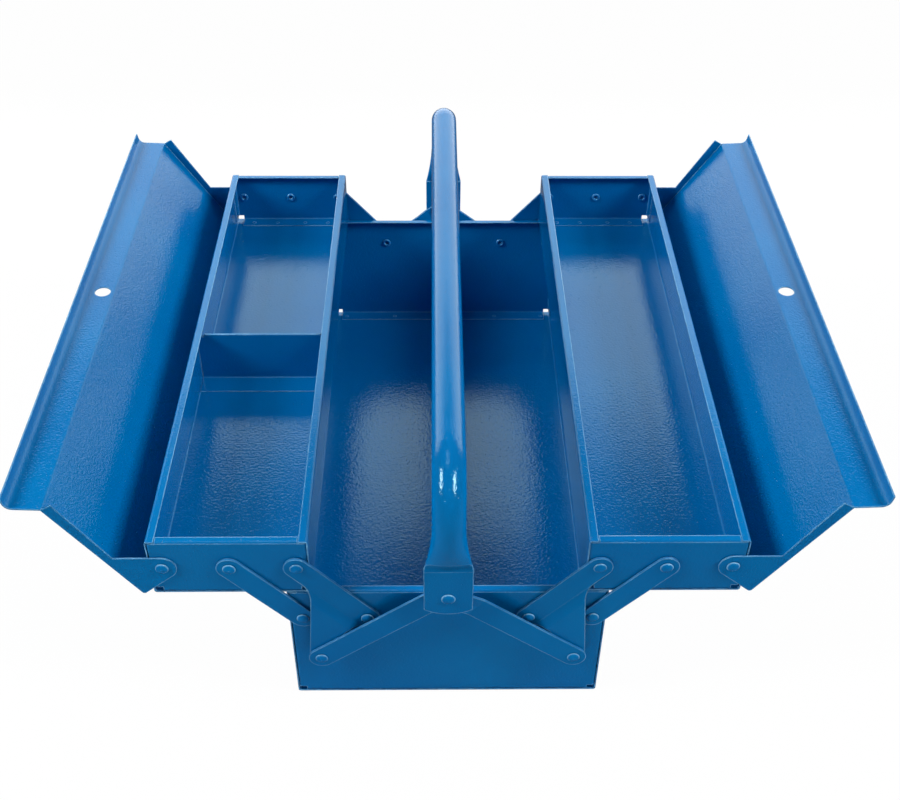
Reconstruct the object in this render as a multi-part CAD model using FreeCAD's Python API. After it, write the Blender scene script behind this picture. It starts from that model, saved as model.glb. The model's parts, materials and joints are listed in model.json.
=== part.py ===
import FreeCAD, Part
import math
import os

# Cantilever tool box of folded sheet steel, shown open.
# X runs across the box, Y along its length, Z up. The origin is the middle of the underside.
# One side and one end are modelled, and the others are mirror images of them.

V = FreeCAD.Vector
ORIGIN = V(0, 0, 0)

# Box and sheet metal
box_length = 422.0
base_width = 200.0
base_height = 102.5
sheet = 0.8
bend_radius = 1.0
long_rim = 5.6
end_rim = 4.8
end_flange = 12.0
rim_corner_gap = 0.4
corner_relief = 4.0
moving_gap = 0.3
half_share = 0.5

# Trays
tray_width = 97.0
tray_height = 44.8
tray_pivot_height = 23.2
tray_pivot_pitch = 40.5
tray_swing_out = 81.75
divider_offset = 6.0
divider_foot = 17.0
divider_drop = 3.2
divider_hem = 6.0
divider_notch = 2.0
divider_side_gap = 0.3

# Levers, links and straps
base_pivot_inset = 49.25
base_pivot_drop = 23.5
plate = 1.5
lever_end_radius = 8.0
lever_strap_across = 30.45
lever_strap_drop = 33.7
lever_strap_radius = 7.7
lever_waist_across = 34.3
lever_waist_radius = 20.0
scallop_radius = 8.5
scallop_neck = 0.4
scallop_lean = 64.0
joggle_start = 8.2
joggle_run = 5.6
strap_radius = 8.2
strap_joggle_start = 13.0
strap_joggle_run = 9.0

# Rivets
rivet_radius = 2.5
rivet_head_radius = 4.1
rivet_head_height = 1.6
rivet_tail_radius = 3.6
rivet_tail_height = 1.2
rivet_bore_radius = 1.5
rivet_bore_depth = 2.0
rivet_sink_depth = 0.9
rivet_sink_gap = 0.05
rivet_fit = 0.02
rivet_running = 0.05
handle_rivet_head_radius = 4.4

# Handle
handle_rivet_rise = 6.5
leg_straight = 1.5
tube_diameter = 20.0
tube_wall = 1.2
tab_width = 30.0
tab_above_rivet = 26.5
tab_below_rivet = 9.7
tab_bow = 4.5
flare_length = 40.0
flare_steps = 4
crease_radius = 6.0
crease_depth = 1.0
crease_rise = 1.6
handle_bend_radius = 28.0

# Lids, measured from the lid pivot with the lid open
lid_sheet = 0.8
lid_fold_out = 62.2
lid_fold_up = 50.6
lid_eave_out = 15.3
lid_eave_down = 21.9
lid_land_width = 20.4
lid_land_rise = 2.5
lid_lip_width = 8.6
lid_lip_rise = 80.0
lid_lip_radius = 5.0
padlock_hole_share = 0.37
lid_eave_flange = 7.4
lid_eave_rise = 154.6
lid_ear_radius = 9.0
lid_flange_height = 7.6
lid_flange_root = 29.7
padlock_hole_radius = 5.5

# Cutting tools run past what they cut by this much
overrun = 5.0

# Levels outwards from the outer face of an end wall
link_level = moving_gap
first_head_level = link_level + plate + moving_gap
raised_level = first_head_level + rivet_head_height + moving_gap
strap_level = raised_level + plate + moving_gap
strap_head_level = strap_level + plate + moving_gap
over_strap_level = strap_level + plate + moving_gap
tab_thickness = tube_wall + tube_wall
tab_level = over_strap_level + plate + moving_gap
lid_level = moving_gap
lid_head_level = lid_level + lid_sheet + moving_gap

# Places that follow from the sizes
end_face = box_length * half_share
base_pivot_offset = base_width * half_share - base_pivot_inset
base_pivot_height = base_height - base_pivot_drop
tray_open_offset = base_pivot_offset + tray_swing_out
handle_rivet_height = base_height + handle_rivet_rise
tab_top = handle_rivet_height + tab_above_rivet
flare_top = tab_top + flare_length
turn_start = flare_top + leg_straight
bar_height = turn_start + handle_bend_radius
tray_bottom = base_height + moving_gap
tray_pivot_z = tray_bottom + tray_pivot_height
lever_pivot = (base_pivot_offset, base_pivot_height)
link_pivot = (base_pivot_offset + tray_pivot_pitch, base_pivot_height)
tray_lever_pivot = (tray_open_offset - tray_pivot_pitch, tray_pivot_z)
tray_link_pivot = (tray_open_offset, tray_pivot_z)
lid_pivot = (tray_open_offset + tray_pivot_pitch, tray_pivot_z)
strap_pivot = (base_pivot_offset + lever_strap_across, base_pivot_height - lever_strap_drop)
handle_pivot = (0, handle_rivet_height)


# Plane geometry

def added(p, q):
    return (p[0] + q[0], p[1] + q[1])


def taken(p, q):
    return (p[0] - q[0], p[1] - q[1])


def times(p, factor):
    return (p[0] * factor, p[1] * factor)


def length_of(p):
    return math.hypot(p[0], p[1])


def unit(p):
    return times(p, 1 / length_of(p))


def left_of(p):
    return (-p[1], p[0])


def polar(distance, degrees):
    angle = math.radians(degrees)
    return (distance * math.cos(angle), distance * math.sin(angle))


def crossed(p, q):
    return p[0] * q[1] - p[1] * q[0]


def dotted(p, q):
    return p[0] * q[0] + p[1] * q[1]


def end_plane(level):
    """Maps a point of an end view to the front end, at a level outwards from the wall."""
    return lambda p: V(p[0], -end_face - level, p[1])


def edges_through(runs, plane):
    """Line and arc edges for runs of two or three points each."""
    edges = []
    for run in runs:
        points = [plane(p) for p in run]
        if points[0].isEqual(points[-1], sheet / box_length):
            continue
        if len(points) == 2:
            edges.append(Part.LineSegment(*points).toShape())
        else:
            edges.append(Part.Arc(*points).toShape())
    return edges


def offset_points(points, distance):
    """The polyline moved to its left, with mitred corners."""
    moved = [added(points[0], times(left_of(unit(taken(points[1], points[0]))), distance))]
    for before, here, after in zip(points, points[1:], points[2:]):
        first = left_of(unit(taken(here, before)))
        second = left_of(unit(taken(after, here)))
        share = distance / (1 + dotted(first, second))
        moved.append(added(here, times(added(first, second), share)))
    moved.append(added(points[-1], times(left_of(unit(taken(points[-1], points[-2]))), distance)))
    return moved


def rounded_runs(points, radii):
    """Lines and arcs along a polyline, with a radius at each inner corner."""
    runs = []
    start = points[0]
    for before, here, after, radius in zip(points, points[1:], points[2:], radii):
        arriving = unit(taken(here, before))
        leaving = unit(taken(after, here))
        turn = math.atan2(crossed(arriving, leaving), dotted(arriving, leaving))
        reach = radius * math.tan(abs(turn) * half_share)
        first = taken(here, times(arriving, reach))
        last = added(here, times(leaving, reach))
        side = math.copysign(radius, turn)
        centre = added(first, times(left_of(arriving), side))
        middle = added(centre, times(unit(taken(here, centre)), radius))
        runs.append((start, first))
        runs.append((first, middle, last))
        start = last
    runs.append((start, points[-1]))
    return runs


def folded_sheet(points, thickness, plane, reach, last_radius=bend_radius):
    """A folded sheet whose outer line is points, its thickness to the left of the line."""
    inner = offset_points(points, thickness)
    outer_radii = []
    inner_radii = []
    for before, here, after in zip(points, points[1:], points[2:]):
        radius = last_radius if after is points[-1] else bend_radius
        turns_left = crossed(taken(here, before), taken(after, here)) > 0
        outer_radii.append(radius + thickness if turns_left else radius)
        inner_radii.append(radius if turns_left else radius + thickness)
    back = [tuple(reversed(run)) for run in reversed(rounded_runs(inner, inner_radii))]
    runs = rounded_runs(points, outer_radii) + [(points[-1], inner[-1])] + back
    runs.append((inner[0], points[0]))
    return Part.Face(Part.Wire(edges_through(runs, plane))).extrude(reach)


def right_side(angle):
    return (math.sin(angle), -math.cos(angle))


def belt_runs(circles):
    """Arcs and tangents round circles, clockwise. A hollow curve has a negative radius."""
    count = len(circles)
    headings = []
    for index in range(count):
        here, radius = circles[index]
        there, next_radius = circles[(index + 1) % count]
        gap = taken(there, here)
        lean = math.asin((next_radius - radius) / length_of(gap))
        headings.append(math.atan2(gap[1], gap[0]) + lean)
    runs = []
    for index in range(count):
        centre, radius = circles[index]
        arriving = headings[index - 1]
        leaving = headings[index]
        turn = (leaving - arriving) % math.tau
        if radius > 0:
            turn = turn - math.tau
        angles = (arriving, arriving + turn * half_share, arriving + turn)
        if radius:
            runs.append(tuple(taken(centre, times(right_side(a), radius)) for a in angles))
        there, next_radius = circles[(index + 1) % count]
        side = right_side(leaving)
        runs.append((taken(centre, times(side, radius)), taken(there, times(side, next_radius))))
    return runs


def belt_plate(circles, level, thickness):
    """A plate on the front end whose outline runs round the circles."""
    face = Part.Face(Part.Wire(edges_through(belt_runs(circles), end_plane(level))))
    return face.extrude(V(0, -thickness, 0))


def end_hole(point, radius):
    """A cutter along Y through everything at the front end."""
    depth = tab_level + overrun + end_flange + overrun
    start = V(point[0], -end_face + end_flange, point[1])
    return Part.makeCylinder(radius, depth, start, V(0, -1, 0))


def drilled(shape, points, radius):
    for point in points:
        shape = shape.cut(end_hole(point, radius))
    return shape


def other_side(shape):
    return shape.mirror(ORIGIN, V(1, 0, 0))


def other_end(shape):
    return shape.mirror(ORIGIN, V(0, 1, 0))


# Folded boxes

def trough(width, height, middle, bottom):
    """Floor and two long walls with their flat rims, one sheet."""
    half = width * half_share
    top = bottom + height
    line = [
        (middle - half + long_rim, top),
        (middle - half, top),
        (middle - half, bottom),
        (middle + half, bottom),
        (middle + half, top),
        (middle + half - long_rim, top),
    ]
    return folded_sheet(line, sheet, end_plane(0), V(0, box_length, 0))


def end_wall(width, height, middle, bottom, holes):
    """Front end wall with its rim, its foot on the floor and its side flanges."""
    top = bottom + height
    floor = bottom + sheet
    rim_half = width * half_share - long_rim - rim_corner_gap
    upright = [(end_rim, top), (0, top), (0, floor), (end_flange, floor)]
    wall = folded_sheet(
        upright,
        sheet,
        lambda p: V(middle - rim_half, -end_face + p[0], p[1]),
        V(rim_half + rim_half, 0, 0),
    )
    inner_half = width * half_share - sheet
    flat = [
        (middle - inner_half, end_flange),
        (middle - inner_half, 0),
        (middle + inner_half, 0),
        (middle + inner_half, end_flange),
    ]
    low = floor + corner_relief
    high = top - sheet - rim_corner_gap
    flanges = folded_sheet(
        flat, sheet, lambda p: V(p[0], -end_face + p[1], low), V(0, 0, high - low)
    )
    return drilled(wall.fuse(flanges).removeSplitter(), holes, rivet_radius + rivet_fit)


def divider():
    """Cross wall of the left tray, with a doubled top edge and a foot that points forward."""
    floor = tray_bottom + sheet
    top = tray_bottom + tray_height - divider_drop
    half = tray_width * half_share - sheet - divider_side_gap
    face = -divider_offset
    left = -tray_open_offset - half
    upright = [(face - divider_foot, floor), (face, floor), (face, top)]
    wall = folded_sheet(upright, sheet, lambda p: V(left, p[0], p[1]), V(half + half, 0, 0))
    hem_start = V(left, face - sheet, top - divider_hem)
    hem = Part.makeBox(half + half, sheet + sheet, divider_hem, hem_start)
    notch_high = long_rim - sheet + moving_gap
    shape = wall.fuse(hem).removeSplitter()
    for start in (left, left + half + half - notch_high):
        cutter = Part.makeBox(
            notch_high,
            divider_foot + overrun,
            divider_notch,
            V(start, face - divider_foot, top - divider_notch),
        )
        shape = shape.cut(cutter)
    return shape


# Linkage

arm = unit(taken(tray_lever_pivot, lever_pivot))
arm_angle = math.atan2(arm[1], arm[0])
arm_right = right_side(arm_angle)
lever_closing = 2 * (math.pi * half_share - arm_angle)


def lever():
    """Three-cornered lever: the corner that takes the strap stands out over the link."""
    scallop_reach = lever_end_radius + scallop_radius + scallop_neck
    scallop = added(lever_pivot, polar(scallop_reach, -scallop_lean))
    edge = lever_pivot[0] + lever_waist_across
    waist_x = edge + lever_waist_radius
    off_arm = lever_end_radius + lever_waist_radius
    across = waist_x - lever_pivot[0]
    waist_z = lever_pivot[1] + (across * arm_right[0] - off_arm) / -arm_right[1]
    circles = [
        (lever_pivot, lever_end_radius),
        (tray_lever_pivot, lever_end_radius),
        ((waist_x, waist_z), -lever_waist_radius),
        (strap_pivot, lever_strap_radius),
        (scallop, -scallop_radius),
    ]
    outline = belt_plate(circles, 0, strap_level)
    reach = length_of(taken(tray_lever_pivot, lever_pivot)) + length_of(taken(strap_pivot, lever_pivot))
    start = taken(lever_pivot, times(arm, reach))

    def level_plane(p):
        along = added(start, times(arm_right, p[0]))
        return V(along[0], -end_face - p[1], along[1])

    line = [
        (-reach, link_level),
        (joggle_start, link_level),
        (joggle_start + joggle_run, raised_level),
        (reach, raised_level),
    ]
    double_reach = times(arm, reach + reach)
    stepped = folded_sheet(line, plate, level_plane, V(double_reach[0], 0, double_reach[1]))
    shape = outline.common(stepped)
    shape = drilled(shape, [lever_pivot, tray_lever_pivot], rivet_radius + rivet_running)
    shape = drilled(shape, [strap_pivot], rivet_radius + rivet_fit)
    sink = Part.makeCone(
        rivet_tail_radius + rivet_sink_gap,
        rivet_radius + rivet_sink_gap,
        rivet_sink_depth,
        V(strap_pivot[0], -end_face - raised_level, strap_pivot[1]),
        V(0, -1, 0),
    )
    return shape.cut(sink)


def link():
    circles = [(link_pivot, lever_end_radius), (tray_link_pivot, lever_end_radius)]
    shape = belt_plate(circles, link_level, plate)
    return drilled(shape, [link_pivot, tray_link_pivot], rivet_radius + rivet_running)


def flat_strap():
    circles = [(handle_pivot, strap_radius), (strap_pivot, strap_radius)]
    shape = belt_plate(circles, strap_level, plate)
    return drilled(shape, [handle_pivot, strap_pivot], rivet_radius + rivet_running)


def stepped_strap():
    """Strap that steps outwards near the handle, to pass over its partner."""
    circles = [(handle_pivot, strap_radius), (strap_pivot, strap_radius)]
    outline = belt_plate(circles, strap_level, tab_level - strap_level)
    along = unit(taken(strap_pivot, handle_pivot))
    across = left_of(along)
    start = taken(handle_pivot, times(across, strap_radius + overrun))
    total = length_of(taken(strap_pivot, handle_pivot)) + strap_radius + overrun

    def level_plane(p):
        point = added(start, times(along, p[0]))
        return V(point[0], -end_face - p[1], point[1])

    line = [
        (-strap_radius - overrun, over_strap_level),
        (strap_joggle_start, over_strap_level),
        (strap_joggle_start + strap_joggle_run, strap_level),
        (total, strap_level),
    ]
    width = times(across, 2 * (strap_radius + overrun))
    stepped = folded_sheet(line, plate, level_plane, V(width[0], 0, width[1]))
    shape = outline.common(stepped)
    return drilled(shape, [handle_pivot, strap_pivot], rivet_radius + rivet_running)


# Rivets

def rivet(point, wall_level, head_level, head_radius=rivet_head_radius, tail="rolled"):
    """Domed rivet along the end's normal; its tail is rolled behind the sheet, sunk in it or plain."""
    def axis_plane(p):
        return V(point[0] + p[0], -end_face - p[1], point[1])

    top = head_level + rivet_head_height
    lean = math.atan2(rivet_head_height, head_radius)
    dome_radius = length_of((head_radius, rivet_head_height)) * half_share / math.sin(lean)
    dome_middle = (dome_radius * math.sin(lean), top - dome_radius * (1 - math.cos(lean)))
    runs = []
    lowest = wall_level
    neck = wall_level
    if tail == "rolled":
        end = wall_level - rivet_tail_height
        crown = ((rivet_bore_radius + rivet_tail_radius) * half_share, end)
        rim = wall_level - rivet_tail_height * half_share
        runs.append(((0, end + rivet_bore_depth), (rivet_bore_radius, end + rivet_bore_depth)))
        runs.append(((rivet_bore_radius, end + rivet_bore_depth), (rivet_bore_radius, rim)))
        runs.append(((rivet_bore_radius, rim), crown, (rivet_tail_radius, rim)))
        runs.append(((rivet_tail_radius, rim), (rivet_tail_radius, wall_level)))
        runs.append(((rivet_tail_radius, wall_level), (rivet_radius, wall_level)))
        lowest = end + rivet_bore_depth
    elif tail == "sunk":
        neck = wall_level + rivet_sink_depth
        runs.append(((0, wall_level), (rivet_tail_radius, wall_level)))
        runs.append(((rivet_tail_radius, wall_level), (rivet_radius, neck)))
    else:
        runs.append(((0, wall_level), (rivet_radius, wall_level)))
    runs.append(((rivet_radius, neck), (rivet_radius, head_level)))
    runs.append(((rivet_radius, head_level), (head_radius, head_level)))
    runs.append(((head_radius, head_level), dome_middle, (0, top)))
    runs.append(((0, top), (0, lowest)))
    face = Part.Face(Part.Wire(edges_through(runs, axis_plane)))
    full_turn = math.degrees(math.tau)
    return face.revolve(V(point[0], -end_face, point[1]), V(0, 1, 0), full_turn)


def both_ends(shapes):
    return Part.makeCompound(shapes + [other_end(shape) for shape in shapes])


# Handle

def handle():
    """Round tube whose ends are pressed flat into tabs; the tube stays hollow inside."""
    tab_plane = -end_face - tab_level - tab_thickness * half_share
    radius = tube_diameter * half_share
    far = -tab_plane

    def side(y, z):
        return V(0, y, z)

    slant = handle_bend_radius * math.cos(math.pi * half_share * half_share)
    path = Part.Wire([
        Part.LineSegment(side(tab_plane, flare_top), side(tab_plane, turn_start)).toShape(),
        Part.Arc(
            side(tab_plane, turn_start),
            side(tab_plane + handle_bend_radius - slant, turn_start + slant),
            side(tab_plane + handle_bend_radius, bar_height),
        ).toShape(),
        Part.LineSegment(
            side(tab_plane + handle_bend_radius, bar_height), side(far - handle_bend_radius, bar_height)
        ).toShape(),
        Part.Arc(
            side(far - handle_bend_radius, bar_height),
            side(far - handle_bend_radius + slant, turn_start + slant),
            side(far, turn_start),
        ).toShape(),
        Part.LineSegment(side(far, turn_start), side(far, flare_top)).toShape(),
    ])

    def swept(section_radius):
        ring = Part.makeCircle(section_radius, side(tab_plane, flare_top), V(0, 0, 1))
        return path.makePipeShell([Part.Wire([ring])], True, False)

    half_tab = tab_width * half_share
    sections = []
    for step in range(flare_steps + 1):
        step_share = step / flare_steps
        eased_share = 1 - (1 - step_share) * (1 - step_share)
        across = half_tab + (radius - half_tab) * eased_share
        deep = tab_thickness * half_share + (radius - tab_thickness * half_share) * eased_share
        height = tab_top + flare_length * step_share
        major, minor = max(across, deep), min(across, deep)
        if step == flare_steps:
            edge = Part.makeCircle(radius, side(tab_plane, height), V(0, 0, 1))
        else:
            ellipse = Part.Ellipse(
                V(major, tab_plane, height), V(0, tab_plane + minor, height), side(tab_plane, height)
            )
            edge = ellipse.toShape()
        sections.append(Part.Wire([edge]))
    flare = Part.makeLoft(sections, True, False)

    bottom = handle_rivet_height - tab_below_rivet
    outline = [
        ((-half_tab, tab_top), (half_tab, tab_top)),
        ((half_tab, tab_top), (half_tab, bottom)),
        ((half_tab, bottom), (0, bottom - tab_bow), (-half_tab, bottom)),
        ((-half_tab, bottom), (-half_tab, tab_top)),
    ]
    tab_face = Part.Face(Part.Wire(edges_through(outline, end_plane(tab_level))))
    tab = tab_face.extrude(V(0, -tab_thickness, 0))
    tab = drilled(tab, [handle_pivot], rivet_radius + rivet_fit)
    crease_y = -end_face - tab_level - tab_thickness - crease_radius + crease_depth
    crease_start = V(-half_tab - overrun, crease_y, tab_top + crease_rise)
    crease_length = tab_width + overrun + overrun
    crease = Part.makeCylinder(crease_radius, crease_length, crease_start, V(1, 0, 0))
    end_piece = flare.fuse(tab).cut(crease)
    shape = swept(radius).fuse([end_piece, other_end(end_piece)]).removeSplitter()
    return shape.cut(swept(radius - tube_wall))


# Lids

lid_fold = added(lid_pivot, (lid_fold_out, lid_fold_up))
lid_eave = added(lid_pivot, (lid_eave_out, -lid_eave_down))
lid_land_end = added(lid_fold, polar(lid_land_width, lid_land_rise))
lid_tip = added(lid_land_end, polar(lid_lip_width, lid_lip_rise))
tip_from_pivot = taken(lid_tip, lid_pivot)
tip_angle = math.atan2(tip_from_pivot[1], tip_from_pivot[0])


def lid():
    """Folded lid with its lip, the land that takes a padlock, its eave and two ears."""
    eave_end = added(lid_eave, polar(lid_eave_flange, lid_eave_rise))
    line = [eave_end, lid_eave, lid_fold, lid_land_end, lid_tip]
    outer = lid_level + lid_sheet
    reach = V(0, box_length + outer + outer, 0)
    panel = folded_sheet(line, lid_sheet, end_plane(outer), reach, lid_lip_radius)
    slope = unit(taken(lid_fold, lid_eave))
    inward = left_of(slope)
    flange_top = added(lid_fold, times(inward, lid_flange_height))
    root = added(lid_pivot, (lid_flange_root * math.cos(lid_ear_radius / lid_flange_root), lid_ear_radius))
    half_sheet = lid_sheet * half_share
    circles = [
        (lid_pivot, lid_ear_radius),
        (root, 0),
        (flange_top, 0),
        (added(lid_fold, times(inward, half_sheet)), half_sheet),
        (added(lid_eave, times(inward, bend_radius + lid_sheet)), bend_radius + lid_sheet),
    ]
    ear = belt_plate(circles, lid_level, lid_sheet)
    ear = drilled(ear, [lid_pivot], rivet_radius + rivet_running)
    shape = panel.fuse([ear, other_end(ear)]).removeSplitter()
    land = taken(lid_land_end, lid_fold)
    through = left_of(unit(land))
    hole_centre = added(lid_fold, times(land, padlock_hole_share))
    start = taken(hole_centre, times(through, overrun))
    cutter = Part.makeCylinder(
        padlock_hole_radius, overrun + overrun, V(start[0], 0, start[1]), V(through[0], 0, through[1])
    )
    return shape.cut(cutter)


# Pieces

def mirrored(point):
    return (-point[0], point[1])


nodes = {}

base_holes = [lever_pivot, link_pivot, mirrored(lever_pivot), mirrored(link_pivot)]
nodes["base_trough"] = trough(base_width, base_height, 0, 0)
nodes["base_end_front"] = end_wall(base_width, base_height, 0, 0, base_holes)
nodes["base_end_rear"] = other_end(nodes["base_end_front"])

tray_holes = [tray_lever_pivot, tray_link_pivot, lid_pivot]
right_trough = trough(tray_width, tray_height, tray_open_offset, tray_bottom)
right_end = end_wall(tray_width, tray_height, tray_open_offset, tray_bottom, tray_holes)
lever_shape = lever()
link_shape = link()
lid_shape = lid()
flat_strap_shape = flat_strap()
stepped_strap_shape = stepped_strap()
tray_rivets = [rivet(point, -sheet, first_head_level) for point in (tray_lever_pivot, tray_link_pivot)]
lid_rivets = [rivet(lid_pivot, -sheet, lid_head_level)]
strap_rivets = [rivet(strap_pivot, raised_level, strap_head_level, tail="sunk")]

for side_name, placed in (("right", lambda shape: shape), ("left", other_side)):
    nodes[side_name + "_tray_trough"] = placed(right_trough)
    nodes[side_name + "_tray_end_front"] = placed(right_end)
    nodes[side_name + "_tray_end_rear"] = placed(other_end(right_end))
    nodes[side_name + "_lid"] = placed(lid_shape)
    nodes[side_name + "_lever_front"] = placed(lever_shape)
    nodes[side_name + "_lever_rear"] = placed(other_end(lever_shape))
    nodes[side_name + "_link_front"] = placed(link_shape)
    nodes[side_name + "_link_rear"] = placed(other_end(link_shape))
    nodes[side_name + "_tray_rivets"] = placed(both_ends(tray_rivets))
    nodes[side_name + "_lid_rivets"] = placed(both_ends(lid_rivets))
    nodes[side_name + "_strap_rivets"] = placed(both_ends(strap_rivets))

nodes["left_strap_front"] = other_side(flat_strap_shape)
nodes["right_strap_front"] = stepped_strap_shape
nodes["left_strap_rear"] = other_side(other_end(stepped_strap_shape))
nodes["right_strap_rear"] = other_end(flat_strap_shape)

nodes["left_tray_divider"] = divider()
nodes["handle"] = handle()
base_rivets = [rivet(point, -sheet, first_head_level) for point in base_holes]
nodes["base_pivot_rivets"] = both_ends(base_rivets)
handle_rivet = rivet(
    handle_pivot, tab_level, tab_level + tab_thickness, handle_rivet_head_radius, tail="plain"
)
nodes["handle_rivets"] = both_ends([handle_rivet])

os.makedirs("parts", exist_ok=True)
for name, shape in nodes.items():
    shape.exportStep("parts/" + name + ".step")

closed_tip = length_of(tip_from_pivot)
print("nodes", len(nodes))
print("levers close by", round(math.degrees(lever_closing), 3), "degrees")
print("strap length", round(length_of(taken(strap_pivot, handle_pivot)), 3))
print("lid tip", round(closed_tip, 3), "from its pivot at", round(math.degrees(tip_angle), 3))
for name, shape in nodes.items():
    solids = shape.Solids
    sound = all(solid.isValid() for solid in solids)
    print(name, len(solids), round(sum(solid.Volume for solid in solids), 1), sound)
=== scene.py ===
"""Looks of a folded-sheet cantilever tool box: blue enamel, spot welds and a small studio.

Laid out as an add-on: the settings stand in property groups, each step is an operator,
and main() runs the steps in order. Lengths are in metres.
"""
import json
import math

import bmesh
import bpy
from mathutils import Matrix, Vector


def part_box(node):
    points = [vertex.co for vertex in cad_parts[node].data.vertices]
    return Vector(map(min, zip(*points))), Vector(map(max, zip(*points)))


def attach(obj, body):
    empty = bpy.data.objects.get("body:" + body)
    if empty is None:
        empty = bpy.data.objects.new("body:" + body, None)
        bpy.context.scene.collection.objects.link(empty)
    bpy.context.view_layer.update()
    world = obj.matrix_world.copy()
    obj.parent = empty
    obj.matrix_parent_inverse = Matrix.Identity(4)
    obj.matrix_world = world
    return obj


bl_info = {
    "name": "Cantilever tool box",
    "version": (1, 0, 0),
    "blender": (4, 5, 0),
    "location": "View3D > Sidebar > Tool box",
    "description": "Paints the tool box, adds its spot welds and sets up the studio",
    "category": "Object",
}

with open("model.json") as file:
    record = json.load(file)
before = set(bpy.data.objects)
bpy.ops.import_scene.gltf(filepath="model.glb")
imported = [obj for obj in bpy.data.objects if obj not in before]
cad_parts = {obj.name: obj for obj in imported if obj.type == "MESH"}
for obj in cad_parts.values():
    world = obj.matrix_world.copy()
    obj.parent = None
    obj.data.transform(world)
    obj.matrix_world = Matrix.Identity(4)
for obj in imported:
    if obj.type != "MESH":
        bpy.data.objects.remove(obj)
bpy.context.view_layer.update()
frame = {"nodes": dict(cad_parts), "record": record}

SHEET = 0.0008

# Detail and roughness of each noise
PEEL_NOISE, FINE_NOISE = (1.0, 0.4), (2.0, 0.5)
SAG_NOISE, PATCH_NOISE = (3.0, 0.55), (3.0, 0.6)

# Relief of the coat. The peel's own cells count as 1, the rest as shares of their height.
FINE_PER_CELL, FINE_SHARE = 2.7, 0.15
SAG_SCALE, SAG_SHARE = 9.0, 1.8
PINHOLE_SHARPNESS, PINHOLE_SHARE = 8.0, 1.6

# Colour and roughness of the coat
PATCH_SCALE = 38.0
THICKNESS_SPAN = (0.35, 0.65)
# Pale band along cut edges and folds: partly a thinner coat, partly a painted highlight.
EDGE_TURN_SPAN = (0.01, 0.12)
EDGE_PATCH_SPAN, EDGE_PATCH_SHARE = (0.35, 0.6), 0.5
EDGE_THIN_AND_HIGHLIGHT_STRENGTH = 0.95
PATCH_ROUGHNESS, FINE_ROUGHNESS = 0.06, 0.05
NOISE_MEAN = 0.5
BEVEL_SAMPLES = 4
COAT_IOR = 1.42
REFLECTION_TINT = (0.58, 0.97, 1.0, 1.0)
# Slot: name of its enamel, grain, peel, gloss and sheen
COATS = {
    "base": ("base_enamel", 1.0, 1.0, 0.0, 0.72),
    "trays": ("tray_enamel", 1.0, 1.0, 0.0, 0.72),
    "lids": ("lid_enamel", 0.76, 1.25, 0.0, 0.43),
    "linkage": ("linkage_enamel", 0.8, 0.5, 0.04, 0.5),
    "handle": ("handle_enamel", 0.65, 0.85, 0.0, 0.58),
    "rivets": ("rivet_enamel", 0.6, 0.2, 0.03, 0.5),
}

# Spot welds. Widths are shares of the radius, the dish's depth is a multiple of the ring's height.
WELD_SIDES = 24
RING_SLOPE, RING_CREST = 0.2, 0.15
DISH_SLOPE, DISH_FLOOR = 0.2, 0.2
DISH_DEPTH = 1.6
WELD_SOFTENING, SOFTENING_STEPS = 0.04, 2
TOP_TOLERANCE = 0.00001
FACING_UP = 0.9
WELD_INSET = 0.0072
BASE_WELDS = (-0.0895, -0.045, 0.0, 0.0476, 0.0907)
TRAY_WELDS = (-0.033, -0.0127, 0.0115, 0.0312)
# Body: slot of its welds, end wall whose foot they hold, enamel and places across the box
WELD_ROWS = {
    "base": ("base", "base_end_front", "base_enamel", BASE_WELDS),
    "left_tray": ("trays", "left_tray_end_front", "tray_enamel", TRAY_WELDS),
    "right_tray": ("trays", "right_tray_end_front", "tray_enamel", TRAY_WELDS),
}

# Studio
FLOOR_SIZE, FLOOR_DROP = 8.0, 0.0006
FLOOR_WHITE, WORLD_WHITE, MIRRORED_WHITE = 0.975, 1.0, 0.05
WHITE = (1, 1, 1, 1)
BOX_MIDDLE = (0, 0, 0.1)
UPRIGHT = (0, 0, 1)
LEANING = (0, 0.8, 0.6)
# Name, setting of its power, place, target, width, height, direction of the height,
# and the kind of ray that doesn't meet it
LAMPS = (
    ("backdrop_glow", "softbox", (0.0, 0.66, 0.46), (0, 0, 0.46), 2.4, 0.68, UPRIGHT, None),
    ("overhead", "overhead", (-0.30, 0.05, 2.3), BOX_MIDDLE, 0.6, 1.0, (0, 1, 0), None),
    ("side_left", "sides", (-1.70, -0.55, 1.60), BOX_MIDDLE, 0.5, 0.9, UPRIGHT, "glossy"),
    ("side_right", "sides", (1.70, -0.55, 1.60), BOX_MIDDLE, 0.5, 0.9, UPRIGHT, "glossy"),
    ("spark_left", "sparks", (-1.75, -0.80, 1.30), BOX_MIDDLE, 0.48, 1.05, LEANING, "diffuse"),
    ("spark_right", "sparks", (1.20, -1.24, 1.50), BOX_MIDDLE, 0.48, 1.05, LEANING, "diffuse"),
)
CAMERA_PLACE = (-0.0083, -0.69375, 0.68133)
CAMERA_DOWN, CAMERA_YAW, CAMERA_ROLL = math.radians(41.13), math.radians(0.99), math.radians(0.54)
SENSOR_WIDTH = 36.0
FOCAL_PIXELS, PICTURE_PIXELS = 1202.5, 900
CLIP_START = 0.01


# Shader maths

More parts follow.
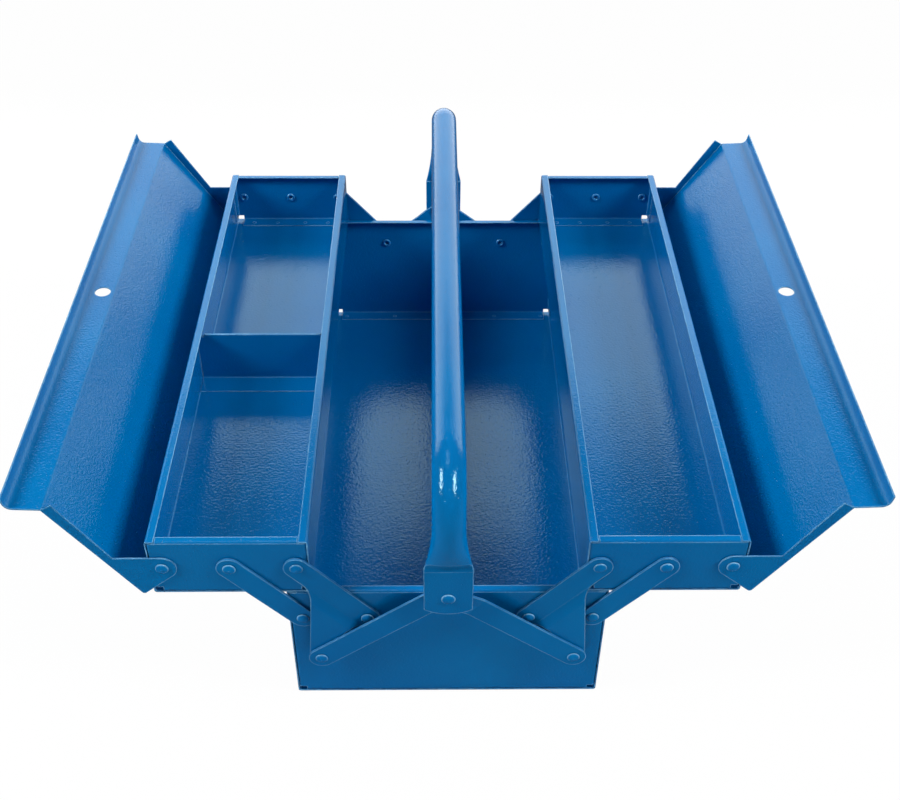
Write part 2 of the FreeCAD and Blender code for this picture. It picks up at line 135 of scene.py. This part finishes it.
class Wire:
    """A value in a node tree that can be used in a Python expression."""

    def __init__(self, tree, socket):
        self.tree = tree
        self.socket = socket

    def math(self, operation, *values):
        node = self.tree.node("ShaderNodeMath", {"operation": operation}, *values)
        return Wire(self.tree, node.outputs[0])

    def __add__(self, other):
        return self.math("ADD", self, other)

    def __radd__(self, other):
        return self.math("ADD", other, self)

    def __sub__(self, other):
        return self.math("SUBTRACT", self, other)

    def __rsub__(self, other):
        return self.math("SUBTRACT", other, self)

    def __mul__(self, other):
        return self.math("MULTIPLY", self, other)

    def __rmul__(self, other):
        return self.math("MULTIPLY", other, self)

    def __truediv__(self, other):
        return self.math("DIVIDE", self, other)

    def __rtruediv__(self, other):
        return self.math("DIVIDE", other, self)

    def clamped(self):
        return self.math("MINIMUM", self.math("MAXIMUM", self, 0.0), 1.0)

    def step_up(self, low, high):
        """0 below low, 1 above high, straight in between."""
        return ((self - low) / (high - low)).clamped()


class Paint:
    """The node tree of a material or of the world."""

    def __init__(self, owner):
        owner.use_nodes = True
        self.nodes = owner.node_tree.nodes
        self.links = owner.node_tree.links
        self.nodes.clear()

    def node(self, kind, settings=None, *values, **named):
        node = self.nodes.new(kind)
        for key, value in (settings or {}).items():
            setattr(node, key, value)
        for index, value in enumerate(values):
            self.feed(node.inputs[index], value)
        for key, value in named.items():
            self.feed(node.inputs[key.replace("_", " ")], value)
        return node

    def feed(self, socket, value):
        if isinstance(value, Wire):
            self.links.new(value.socket, socket)
        elif isinstance(value, bpy.types.NodeSocket):
            self.links.new(value, socket)
        else:
            socket.default_value = value

    def wire(self, node, output=0):
        return Wire(self, node.outputs[output])

    def noise(self, where, scale, detail, roughness):
        node = self.node(
            "ShaderNodeTexNoise", None,
            Vector=where, Scale=scale, Detail=detail, Roughness=roughness,
        )
        return self.wire(node)

    def colours(self, factor, first, second):
        node = self.node("ShaderNodeMix", {"data_type": "RGBA"})
        self.feed(node.inputs[0], factor)
        self.feed(node.inputs[6], first)
        self.feed(node.inputs[7], second)
        return node.outputs[2]


# Settings

class EnamelSettings(bpy.types.PropertyGroup):
    colour: bpy.props.FloatVectorProperty(
        name="Colour", description="Blue of a thick coat", subtype="COLOR", size=4,
        min=0.0, max=1.0, default=(0.0, 0.163, 0.44, 1.0),
    )
    # Painted highlight, partly real: cut edges and folds are painted this pale blue, which stands
    # both for the thinner coat there and for light catching the edge.
    thin_coat_and_highlight_colour: bpy.props.FloatVectorProperty(
        name="Thin coat and highlight colour", description="Pale blue at cut edges, for the thinner coat there and a painted highlight",
        subtype="COLOR", size=4, min=0.0, max=1.0, default=(0.26, 0.60, 0.88, 1.0),
    )
    deep_colour: bpy.props.FloatVectorProperty(
        name="Deep colour", description="Blue where the coat has pooled", subtype="COLOR",
        size=4, min=0.0, max=1.0, default=(0.0, 0.138, 0.40, 1.0),
    )
    gloss: bpy.props.FloatProperty(
        name="Roughness", description="Roughness of the cured coat",
        default=0.04, min=0.02, max=0.6,
    )
    peel_size: bpy.props.FloatProperty(
        name="Peel size", description="Width of one orange-peel cell", subtype="DISTANCE",
        unit="LENGTH", default=0.0017, min=0.0005, max=0.01,
    )
    peel_height: bpy.props.FloatProperty(
        name="Peel height", description="Height of the orange peel", subtype="DISTANCE",
        unit="LENGTH", default=0.00016, min=0.0, max=0.001, precision=6,
    )
    pinhole_gap: bpy.props.FloatProperty(
        name="Pinhole gap", description="Usual distance between two pinholes in the coat",
        subtype="DISTANCE", unit="LENGTH", default=0.0042, min=0.001, max=0.05, precision=4,
    )
    # The same rounding also sets the width of the pale edge band, which is partly a painted
    # highlight.
    edge_round: bpy.props.FloatProperty(
        name="Edge rounding", description="How far the coat rounds a cut edge",
        subtype="DISTANCE", unit="LENGTH", default=0.0011, min=0.0, max=0.002, precision=5,
    )


class WeldSettings(bpy.types.PropertyGroup):
    radius: bpy.props.FloatProperty(
        name="Radius", description="Radius of a spot weld", subtype="DISTANCE",
        unit="LENGTH", default=0.0019, min=0.0005, max=0.005, precision=5,
    )
    height: bpy.props.FloatProperty(
        name="Height", description="Height of the raised ring", subtype="DISTANCE",
        unit="LENGTH", default=0.00022, min=0.0, max=0.001, precision=6,
    )


class StudioSettings(bpy.types.PropertyGroup):
    softbox: bpy.props.FloatProperty(
        name="Softbox", description="Power of the panel behind the box", subtype="POWER",
        unit="POWER", default=10.4, min=0.0,
    )
    overhead: bpy.props.FloatProperty(
        name="Overhead", description="Power of the panel above", subtype="POWER",
        unit="POWER", default=3.8, min=0.0,
    )
    sides: bpy.props.FloatProperty(
        name="Sides", description="Power of each of the two lamps at the sides, for light only",
        subtype="POWER", unit="POWER", default=40.0, min=0.0,
    )
    sparks: bpy.props.FloatProperty(
        name="Sparks", description="Power of each of the two front lamps, for reflections only",
        subtype="POWER", unit="POWER", default=45.0, min=0.0,
    )
    ambient: bpy.props.FloatProperty(
        name="Ambient", description="Level of the light from all round",
        default=0.035, min=0.0, max=2.0,
    )
    floor: bpy.props.FloatVectorProperty(
        name="Floor", description="Colour of the floor", subtype="COLOR", size=4,
        min=0.0, max=1.0, default=(0.85, 0.85, 0.85, 1.0),
    )
    bounce: bpy.props.FloatVectorProperty(
        name="Bounce", description="Colour of the floor for the light that it sends back",
        subtype="COLOR", size=4, min=0.0, max=1.0, default=(0.9, 0.9, 0.9, 1.0),
    )
    mirrored: bpy.props.FloatVectorProperty(
        name="Mirrored", description="Colour of the floor as the coat mirrors it",
        subtype="COLOR", size=4, min=0.0, max=1.0, default=(0.06, 0.06, 0.06, 1.0),
    )


# Modelling helpers

def clear_selection():
    if bpy.context.mode != "OBJECT":
        bpy.ops.object.mode_set(mode="OBJECT")
    bpy.ops.object.select_all(action="DESELECT")


def only(piece):
    clear_selection()
    piece.select_set(True)
    bpy.context.view_layer.objects.active = piece


def pick(piece, test, kind="faces"):
    """In edit mode, selects only the faces or edges that pass the test."""
    mesh = bmesh.from_edit_mesh(piece.data)
    for part in (mesh.verts, mesh.edges, mesh.faces):
        for element in part:
            element.select_set(False)
    for element in getattr(mesh, kind):
        if test(element):
            element.select_set(True)
    mesh.select_flush_mode()
    bmesh.update_edit_mesh(piece.data)


def settled(piece):
    """Leaves the piece's place in its mesh and its object at the origin."""
    only(piece)
    bpy.ops.object.transform_apply(location=True, rotation=True, scale=True)
    return piece


def painted(piece, material):
    piece.data.materials.clear()
    piece.data.materials.append(material)


# Enamel

def enamel(settings, name, grain, peel, gloss, sheen):
    """Glossy blue powder coat with orange peel and pinholes, painted paler along every cut edge,
    for the thinner coat there and as a painted highlight.

    grain and peel multiply the peel's width and height, gloss is added to the roughness,
    and sheen is the strength of the reflections.
    """
    material = bpy.data.materials.new(name)
    paint = Paint(material)
    place = paint.node("ShaderNodeTexCoord").outputs["Object"]
    cell = 1.0 / (settings.peel_size * grain)
    coarse = paint.noise(place, cell, *PEEL_NOISE)
    fine = paint.noise(place, cell * FINE_PER_CELL, *FINE_NOISE)
    slow = paint.noise(place, SAG_SCALE, *SAG_NOISE)
    patch = paint.noise(place, PATCH_SCALE, *PATCH_NOISE)
    scatter = paint.node(
        "ShaderNodeTexVoronoi", None, Vector=place, Scale=1.0 / settings.pinhole_gap
    )
    pinhole = (1 - paint.wire(scatter, "Distance") * PINHOLE_SHARPNESS).clamped()
    height = coarse + fine * FINE_SHARE + slow * SAG_SHARE - pinhole * PINHOLE_SHARE
    rounded = paint.node("ShaderNodeBevel", {"samples": BEVEL_SAMPLES}, Radius=settings.edge_round)
    bump = paint.node(
        "ShaderNodeBump", None, Strength=1.0, Distance=settings.peel_height * peel,
        Height=height, Normal=rounded.outputs[0],
    )
    plain = paint.node("ShaderNodeNewGeometry").outputs["Normal"]
    turned = paint.node(
        "ShaderNodeVectorMath", {"operation": "DOT_PRODUCT"}, rounded.outputs[0], plain
    )
    # Painted highlight, partly a thinner coat: the band along cut edges and folds where the
    # rounded normal turns from the face's own, made patchy.
    edge = (1 - paint.wire(turned, "Value")).step_up(*EDGE_TURN_SPAN)
    edge = edge * (patch.step_up(*EDGE_PATCH_SPAN) * EDGE_PATCH_SHARE + (1 - EDGE_PATCH_SHARE))
    thick = slow.step_up(*THICKNESS_SPAN)
    body = paint.colours(thick, tuple(settings.deep_colour), tuple(settings.colour))
    # The edge band is painted in the pale blue that stands for thin coat and painted highlight.
    colour = paint.colours(edge * EDGE_THIN_AND_HIGHLIGHT_STRENGTH, body, tuple(settings.thin_coat_and_highlight_colour))
    rough = (settings.gloss + gloss) + (patch - NOISE_MEAN) * PATCH_ROUGHNESS
    rough = rough + (fine - NOISE_MEAN) * FINE_ROUGHNESS
    shader = paint.node(
        "ShaderNodeBsdfPrincipled", None,
        Base_Color=colour, Roughness=rough.clamped(), IOR=COAT_IOR, Normal=bump.outputs[0],
        Specular_IOR_Level=sheen, Specular_Tint=REFLECTION_TINT,
    )
    paint.node("ShaderNodeOutputMaterial", None, shader.outputs[0])
    return material


class TOOLBOX_OT_coat(bpy.types.Operator):
    """Coats the folded boxes, the lids, the linkage, the handle and the rivets"""

    bl_idname = "toolbox.coat"
    bl_label = "Coat the tool box"

    def execute(self, context):
        settings = context.scene.toolbox_enamel
        coats = {slot: enamel(settings, *coat) for slot, coat in COATS.items()}
        for row in frame["record"]["subparts"]:
            painted(frame["nodes"][row["node"]], coats[row["material_slot"]])
        return {"FINISHED"}


# Spot welds

def weld_spot(settings):
    """One spot weld at the origin: a dished button with a raised ring."""
    radius = settings.radius
    clear_selection()
    bpy.ops.mesh.primitive_cylinder_add(vertices=WELD_SIDES, radius=radius, depth=SHEET)
    spot = bpy.context.active_object
    edge_floor = SHEET / 2 - TOP_TOLERANCE
    bpy.ops.object.mode_set(mode="EDIT")
    pick(spot, lambda face: face.normal.z > FACING_UP)
    bpy.ops.mesh.inset(thickness=radius * RING_SLOPE)
    bpy.ops.transform.translate(value=(0, 0, settings.height))
    bpy.ops.mesh.inset(thickness=radius * RING_CREST)
    bpy.ops.mesh.inset(thickness=radius * DISH_SLOPE)
    bpy.ops.transform.translate(value=(0, 0, -DISH_DEPTH * settings.height))
    bpy.ops.mesh.inset(thickness=radius * DISH_FLOOR)
    pick(spot, lambda edge: all(vert.co.z > edge_floor for vert in edge.verts), "edges")
    bpy.ops.mesh.bevel(offset=radius * WELD_SOFTENING, segments=SOFTENING_STEPS)
    bpy.ops.object.mode_set(mode="OBJECT")
    bpy.ops.object.shade_smooth()
    return settled(spot)


def copied(piece, place):
    twin = piece.copy()
    twin.data = piece.data.copy()
    twin.data.transform(Matrix.Translation(place))
    bpy.context.collection.objects.link(twin)
    return twin


def joined(pieces, name):
    only(pieces[0])
    for piece in pieces:
        piece.select_set(True)
    bpy.ops.object.join()
    pieces[0].name = name
    return pieces[0]


class TOOLBOX_OT_welds(bpy.types.Operator):
    """Adds the rows of spot welds that hold the end walls to the troughs"""

    bl_idname = "toolbox.welds"
    bl_label = "Add the spot welds"

    def execute(self, context):
        settings = context.scene.toolbox_weld
        row_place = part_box("base_trough")[1].y - WELD_INSET
        for body, (slot, node, coat, across) in WELD_ROWS.items():
            start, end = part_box(node)
            middle = (start.x + end.x) / 2
            height = start.z + SHEET / 2
            model = weld_spot(settings)
            spots = [
                copied(model, Vector((middle + x, side * row_place, height)))
                for x in across
                for side in (-1, 1)
            ]
            bpy.data.objects.remove(model)
            piece = joined(spots, body + "_weld_spots")
            painted(piece, bpy.data.materials[coat])
            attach(piece, body)
        return {"FINISHED"}


# Studio

def background(paint, kind, lit, share, mirrored):
    """Shows the camera a share of white over lit, mirrors some white, and is lit otherwise."""
    path = paint.node("ShaderNodeLightPath")
    seen = paint.wire(path, "Is Camera Ray") + paint.wire(path, "Is Transmission Ray")
    seen = seen.clamped() * share + paint.wire(path, "Is Glossy Ray") * mirrored
    white = paint.node(kind, None, Color=WHITE, Strength=1.0)
    mixed = paint.node(
        "ShaderNodeMixShader", None, seen.clamped(), lit.outputs[0], white.outputs[0]
    )
    return mixed.outputs[0]


def studio_floor(settings):
    clear_selection()
    bpy.ops.mesh.primitive_plane_add(size=FLOOR_SIZE, location=(0, 0, -FLOOR_DROP))
    floor = bpy.context.active_object
    floor.name = "studio_floor"
    material = bpy.data.materials.new("studio_floor")
    paint = Paint(material)
    path = paint.node("ShaderNodeLightPath")
    mirrored = paint.wire(path, "Is Glossy Ray")
    sent = paint.colours(mirrored, tuple(settings.bounce), tuple(settings.mirrored))
    seen = paint.wire(path, "Is Camera Ray")
    colour = paint.colours(seen, sent, tuple(settings.floor))
    lit = paint.node("ShaderNodeBsdfDiffuse", None, Color=colour)
    surface = background(paint, "ShaderNodeEmission", lit, FLOOR_WHITE, MIRRORED_WHITE)
    paint.node("ShaderNodeOutputMaterial", None, surface)
    painted(floor, material)


def studio_world(settings):
    world = bpy.data.worlds.new("studio_world")
    paint = Paint(world)
    lit = paint.node("ShaderNodeBackground", None, Color=WHITE, Strength=settings.ambient)
    surface = background(paint, "ShaderNodeBackground", lit, WORLD_WHITE, MIRRORED_WHITE)
    paint.node("ShaderNodeOutputWorld", None, surface)
    return world


def panel_lamp(name, power, place, target, width, height, along, unmet):
    """Adds a lamp that faces its target, with its height as near along as that allows."""
    clear_selection()
    bpy.ops.object.light_add(type="AREA", location=place)
    lamp = bpy.context.active_object
    lamp.name = name
    lamp.data.shape = "RECTANGLE"
    lamp.data.size = width
    lamp.data.size_y = height
    lamp.data.energy = power
    lamp.visible_camera = False
    lamp.visible_glossy = unmet != "glossy"
    lamp.visible_diffuse = unmet != "diffuse"
    back = (lamp.location - Vector(target)).normalized()
    up = (Vector(along) - back * back.dot(Vector(along))).normalized()
    lamp.rotation_euler = Matrix((up.cross(back), up, back)).transposed().to_euler()


def photo_camera():
    """The camera that was fitted to corners and rivets of the photograph."""
    bpy.ops.object.camera_add(location=CAMERA_PLACE)
    camera = bpy.context.active_object
    camera.name = "photo_camera"
    ahead = Vector((
        math.sin(CAMERA_YAW) * math.cos(CAMERA_DOWN),
        math.cos(CAMERA_YAW) * math.cos(CAMERA_DOWN),
        -math.sin(CAMERA_DOWN),
    ))
    level = Vector((math.cos(CAMERA_YAW), -math.sin(CAMERA_YAW), 0))
    above = level.cross(ahead)
    right = level * math.cos(CAMERA_ROLL) + above * math.sin(CAMERA_ROLL)
    up = above * math.cos(CAMERA_ROLL) - level * math.sin(CAMERA_ROLL)
    camera.rotation_euler = Matrix((right, up, -ahead)).transposed().to_euler()
    camera.data.sensor_width = SENSOR_WIDTH
    camera.data.lens = SENSOR_WIDTH * FOCAL_PIXELS / PICTURE_PIXELS
    camera.data.clip_start = CLIP_START
    return camera


class TOOLBOX_OT_studio(bpy.types.Operator):
    """Sets up the floor, the lamps, the world and the camera"""

    bl_idname = "toolbox.studio"
    bl_label = "Set up the studio"

    def execute(self, context):
        settings = context.scene.toolbox_studio
        scene = context.scene
        studio_floor(settings)
        scene.world = studio_world(settings)
        for name, power, *rest in LAMPS:
            panel_lamp(name, getattr(settings, power), *rest)
        scene.camera = photo_camera()
        scene.view_settings.view_transform = "Standard"
        return {"FINISHED"}


class TOOLBOX_PT_panel(bpy.types.Panel):
    bl_idname = "TOOLBOX_PT_panel"
    bl_label = "Tool box"
    bl_space_type = "VIEW_3D"
    bl_region_type = "UI"
    bl_category = "Tool box"

    def draw(self, context):
        scene = context.scene
        groups = (
            (scene.toolbox_enamel, TOOLBOX_OT_coat),
            (scene.toolbox_weld, TOOLBOX_OT_welds),
            (scene.toolbox_studio, TOOLBOX_OT_studio),
        )
        for settings, step in groups:
            box = self.layout.box()
            for key in settings.__annotations__:
                box.prop(settings, key)
            box.operator(step.bl_idname)


CLASSES = (
    EnamelSettings, WeldSettings, StudioSettings,
    TOOLBOX_OT_coat, TOOLBOX_OT_welds, TOOLBOX_OT_studio, TOOLBOX_PT_panel,
)
SETTINGS = {
    "toolbox_enamel": EnamelSettings,
    "toolbox_weld": WeldSettings,
    "toolbox_studio": StudioSettings,
}


def register():
    for entry in CLASSES:
        bpy.utils.register_class(entry)
    for name, group in SETTINGS.items():
        setattr(bpy.types.Scene, name, bpy.props.PointerProperty(type=group))


def unregister():
    for name in SETTINGS:
        delattr(bpy.types.Scene, name)
    for entry in reversed(CLASSES):
        bpy.utils.unregister_class(entry)


def main():
    register()
    bpy.ops.toolbox.coat()
    bpy.ops.toolbox.welds()
    bpy.ops.toolbox.studio()


if __name__ == "__main__":
    main()
